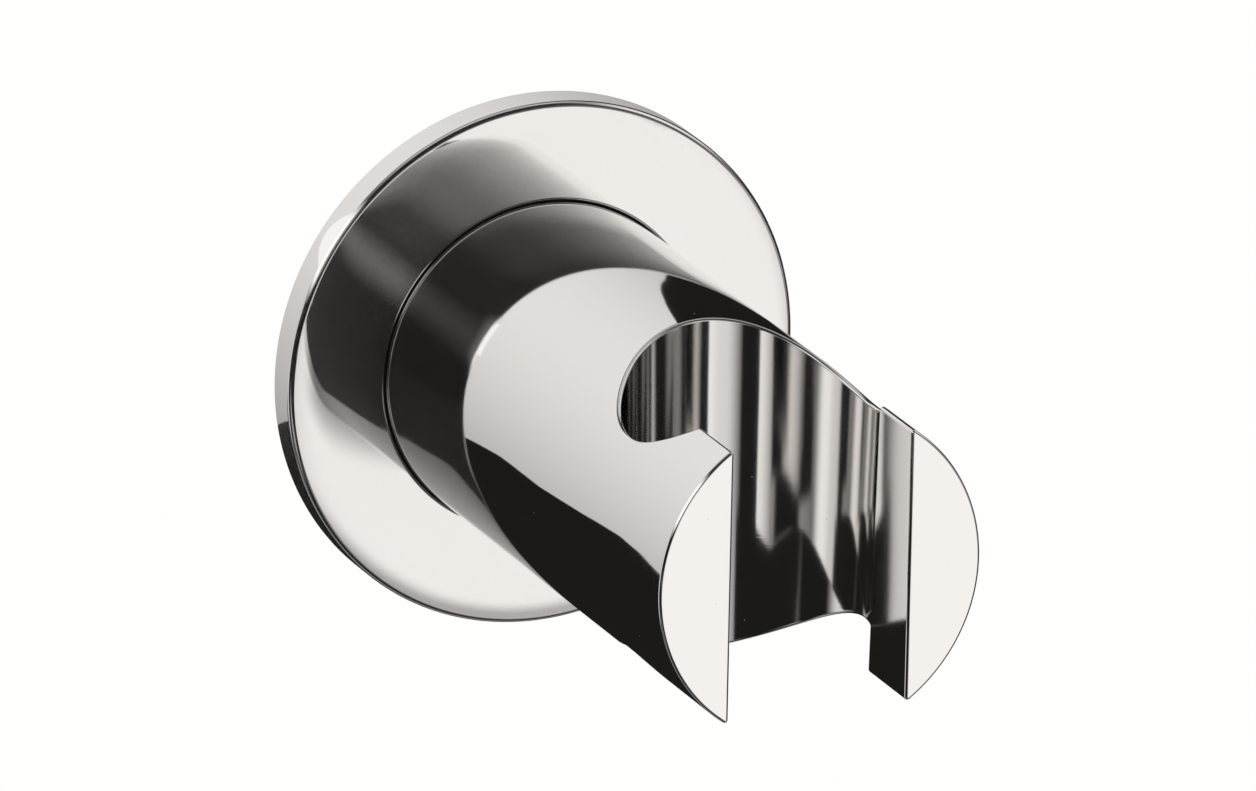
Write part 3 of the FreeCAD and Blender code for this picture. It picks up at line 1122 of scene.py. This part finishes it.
def veil_shade():
    """Painted shade: a clear sheet that dims what is seen through it from the wall's side only, which darkens
    the room that the rosette mirrors.

    It dims beyond a radius from the bar above and further down on the left, the more the higher and the
    further left. Next to the bar below on the left it paints a soft shadow on the rosette, seen only in the
    chrome.
    """
    material, tree, shader = new_material("painted_shade_veil", {})
    tree.nodes.remove(shader)
    place = stretched(tree, own_place(tree), (1 / MM, 0.0, 1 / MM))
    x, _, z = node(tree, "ShaderNodeSeparateXYZ", Vector=place).outputs
    radius = node(tree, "ShaderNodeVectorMath", operation="LENGTH", Vector=place).outputs["Value"]
    height = math_node(tree, "MULTIPLY_ADD", band(tree, x, *DIM_LEFT), DIM_LEFT_DROP, z)
    dimmed = node(tree, "ShaderNodeMapRange", Value=math_node(tree, "MULTIPLY_ADD", x, DIM_LEAN, z))
    for name, number in DIM_RANGE.items():
        dimmed.inputs[name].default_value = number
    above = product(
        tree, band(tree, radius, *DIM_RADIUS), band(tree, height, *DIM_HEIGHT), dimmed.outputs["Result"]
    )
    shadow = product(
        tree, band(tree, radius, *SHADOW_RADIUS), band(tree, x, *SHADOW_X), band(tree, z, *SHADOW_Z),
        SHADOW_DEPTH,
    )
    seen = math_node(tree, "SUBTRACT", 1.0, node(tree, "ShaderNodeNewGeometry").outputs["Backfacing"])
    clear = math_node(tree, "SUBTRACT", 1.0, product(tree, math_node(tree, "MAXIMUM", above, shadow), seen))
    tree.links.new(node(tree, "ShaderNodeBsdfTransparent", Color=clear).outputs[0], surface_of(tree))
    return material


def painted_shade_veil():
    """Flat ring round the bar, in front of the rosette, that faces the wall; it paints shade on the rosette
    in the chrome.
    """
    theta = np.linspace(0, 2 * math.pi, VEIL_STEPS + 1)
    points, normals = revolved(np.array([[VEIL_HOLE], [VEIL_END]]), VEIL_Y, 0.0, 1.0, theta)
    corners, _ = patch_faces(points, normals, 0)
    veil = sheet_of(
        "painted_shade_veil", points.reshape(-1, 3).tolist(), corners.tolist(), veil_shade(), MIRRORED_ONLY
    )


FLOOR_HALF = 30.0
FLOOR_DOWN = 3.0
FLOOR_COLOUR = (0.9, 0.9, 0.89, 1.0)


def pale_floor():
    """Level floor far below, plain white to the camera, pale in diffuse light and left out of the chrome."""
    material, tree, shader = new_material("pale_floor", {"Base Color": FLOOR_COLOUR, "Roughness": 0.8})
    white = node(tree, "ShaderNodeEmission", Color=WHITE, Strength=1.0)
    by_ray(tree, "Is Camera Ray", shader, white, surface_of(tree))
    points = [(x * FLOOR_HALF, y * FLOOR_HALF, -FLOOR_DOWN) for x, y in ((-1, -1), (1, -1), (1, 1), (-1, 1))]
    floor = sheet_of("floor", points, [range(len(points))], material, ("glossy",))


# Properties, operators and panel


class HolderSizes(bpy.types.PropertyGroup):
    bar_radius: FloatProperty(
        name="Bar radius", description="Radius of the round bar", default=BAR_HIGH.z,
        unit="LENGTH", precision=4,
    )
    edge_round: FloatProperty(
        name="Edge round", description="Radius of the round on the bar's edges", default=0.3 * MM,
        unit="LENGTH", precision=5,
    )
    socket_radius: FloatProperty(
        name="Socket radius", description="Radius of the conical socket at the bar's axis",
        default=SOCKET["dims"]["r_mm"] * MM, unit="LENGTH", precision=4,
    )
    socket_taper: FloatProperty(
        name="Socket taper", description="Growth of the socket's radius for each unit of height",
        default=1 / 36, precision=4,
    )
    slot_half: FloatProperty(
        name="Half slot", description="Half the width of the slot for the hose", default=8.95 * MM,
        unit="LENGTH", precision=5,
    )
    bore_radius: FloatProperty(
        name="Bore radius", description="Radius of the bore for the bracket's spigot", default=10.0 * MM,
        unit="LENGTH", precision=4,
    )
    bore_length: FloatProperty(
        name="Bore length", description="Depth of the bore at its full width", default=18.8 * MM,
        unit="LENGTH", precision=4,
    )
    screw_radius: FloatProperty(
        name="Set screw hole", description="Radius of the set screw's hole", default=2.5 * MM,
        unit="LENGTH", precision=4,
    )
    rosette_round: FloatProperty(
        name="Rosette edge", description="Radius of the round on the rosette's front edge",
        default=0.6 * MM, unit="LENGTH", precision=5,
    )


class HolderFinish(bpy.types.PropertyGroup):
    chrome: FloatVectorProperty(
        name="Chrome", description="Tint of the polished chrome", default=(0.87, 0.86, 0.85),
        subtype="COLOR", min=0.0, max=1.0,
    )
    chrome_roughness: FloatProperty(
        name="Chrome roughness", description="Haze of the polished chrome", default=0.02, min=0.0, max=1.0
    )
    socket_roughness: FloatProperty(
        name="Socket roughness", description="Haze of the socket's wall, which is polished less",
        default=0.055, min=0.0, max=1.0,
    )


class HolderStudio(bpy.types.PropertyGroup):
    azimuth: FloatProperty(
        name="Azimuth", description="Camera's angle from straight ahead, negative to the left",
        default=-0.415, unit="ROTATION",
    )
    elevation: FloatProperty(
        name="Elevation", description="Camera's angle above the horizon", default=0.3281, unit="ROTATION"
    )
    roll: FloatProperty(
        name="Roll", description="Turn of the camera about its own axis", default=0.021, unit="ROTATION"
    )
    distance: FloatProperty(
        name="Distance", description="From the camera to its target", default=2.0259, unit="LENGTH"
    )
    lens: FloatProperty(
        name="Lens", description="Focal length in millimetres", default=618.9, min=1.0, max=5000.0
    )
    target: FloatVectorProperty(
        name="Target", description="Point in the middle of the picture",
        default=(-2.533 * MM, -29.9 * MM, 5.476 * MM), subtype="TRANSLATION", unit="LENGTH",
    )


class HOLDER_OT_bar(bpy.types.Operator):
    """Build the chromed bar with its keyhole socket"""
    bl_idname = "holder.bar"
    bl_label = "Bar"

    def execute(self, context):
        scene = context.scene
        finish = scene.holder_finish
        build_bar(
            scene.holder_sizes,
            chrome("bar_chrome", finish.chrome, finish.chrome_roughness),
            chrome("socket_chrome", finish.chrome, finish.socket_roughness, bored=True),
        )
        return {"FINISHED"}


class HOLDER_OT_rosette(bpy.types.Operator):
    """Build the chromed cover rosette"""
    bl_idname = "holder.rosette"
    bl_label = "Rosette"

    def execute(self, context):
        scene = context.scene
        finish = scene.holder_finish
        material = chrome("rosette_chrome", finish.chrome, finish.chrome_roughness, hazy=ROSETTE_HAZE)
        build_rosette(scene.holder_sizes, material)
        return {"FINISHED"}


class HOLDER_OT_fixings(bpy.types.Operator):
    """Build the rubber ring and the set screw, and finish the bracket"""
    bl_idname = "holder.fixings"
    bl_label = "Ring, screw and bracket"

    def execute(self, context):
        build_ring(moulded_rubber())
        build_screw(screw_steel())
        bracket = frame["nodes"]["wall_bracket"]
        bracket.data.materials.clear()
        bracket.data.materials.append(turned_brass())
        return {"FINISHED"}


class HOLDER_OT_stage(bpy.types.Operator):
    """Set up the camera, the floor and the lights"""
    bl_idname = "holder.stage"
    bl_label = "Studio"

    def execute(self, context):
        place_camera(context.scene.holder_studio)
        studio_world()
        pale_floor()
        black = card_shade("black_card", CARD_BLACK, CARD_BLACK_STRENGTH)
        white = card_shade("painted_highlight_card", PAINTED_HIGHLIGHT, PAINTED_HIGHLIGHT_STRENGTH)
        card("upper_black_card", BACK_CARDS_Y, UPPER_CARD, black)
        card("lower_black_card", BACK_CARDS_Y, LOWER_CARD, black)
        card("front_black_card", FRONT_CARD_Y, FRONT_CARD, black)
        # painted highlight on the rosette's rim, seen only in the chrome
        card("rim_painted_highlight_card", RIM_CARD_Y, rim_card(), white)
        # painted shade and shadow on the rosette, seen only in the chrome
        painted_shade_veil()
        return {"FINISHED"}


class HOLDER_PT_panel(bpy.types.Panel):
    """Sidebar panel with the sizes, finishes and steps"""
    bl_idname = "HOLDER_PT_panel"
    bl_label = "Hand shower holder"
    bl_space_type = "VIEW_3D"
    bl_region_type = "UI"
    bl_category = "Holder"

    def draw(self, context):
        for group in (context.scene.holder_sizes, context.scene.holder_finish, context.scene.holder_studio):
            box = self.layout.box()
            for key in group.bl_rna.properties.keys():
                if key not in ("rna_type", "name"):
                    box.prop(group, key)
        for step in STEPS:
            self.layout.operator(step.bl_idname)


STEPS = (HOLDER_OT_bar, HOLDER_OT_rosette, HOLDER_OT_fixings, HOLDER_OT_stage)
GROUPS = {"holder_sizes": HolderSizes, "holder_finish": HolderFinish, "holder_studio": HolderStudio}


def register():
    for group in (*GROUPS.values(), *STEPS, HOLDER_PT_panel):
        bpy.utils.register_class(group)
    for name, group in GROUPS.items():
        setattr(bpy.types.Scene, name, PointerProperty(type=group))


def unregister():
    for name in GROUPS:
        delattr(bpy.types.Scene, name)
    for group in reversed((*GROUPS.values(), *STEPS, HOLDER_PT_panel)):
        bpy.utils.unregister_class(group)


def main():
    register()
    for step in STEPS:
        kind, name = step.bl_idname.split(".")
        getattr(getattr(bpy.ops, kind), name)()
    bpy.context.scene.view_settings.view_transform = "Standard"


if __name__ == "__main__":
    main()
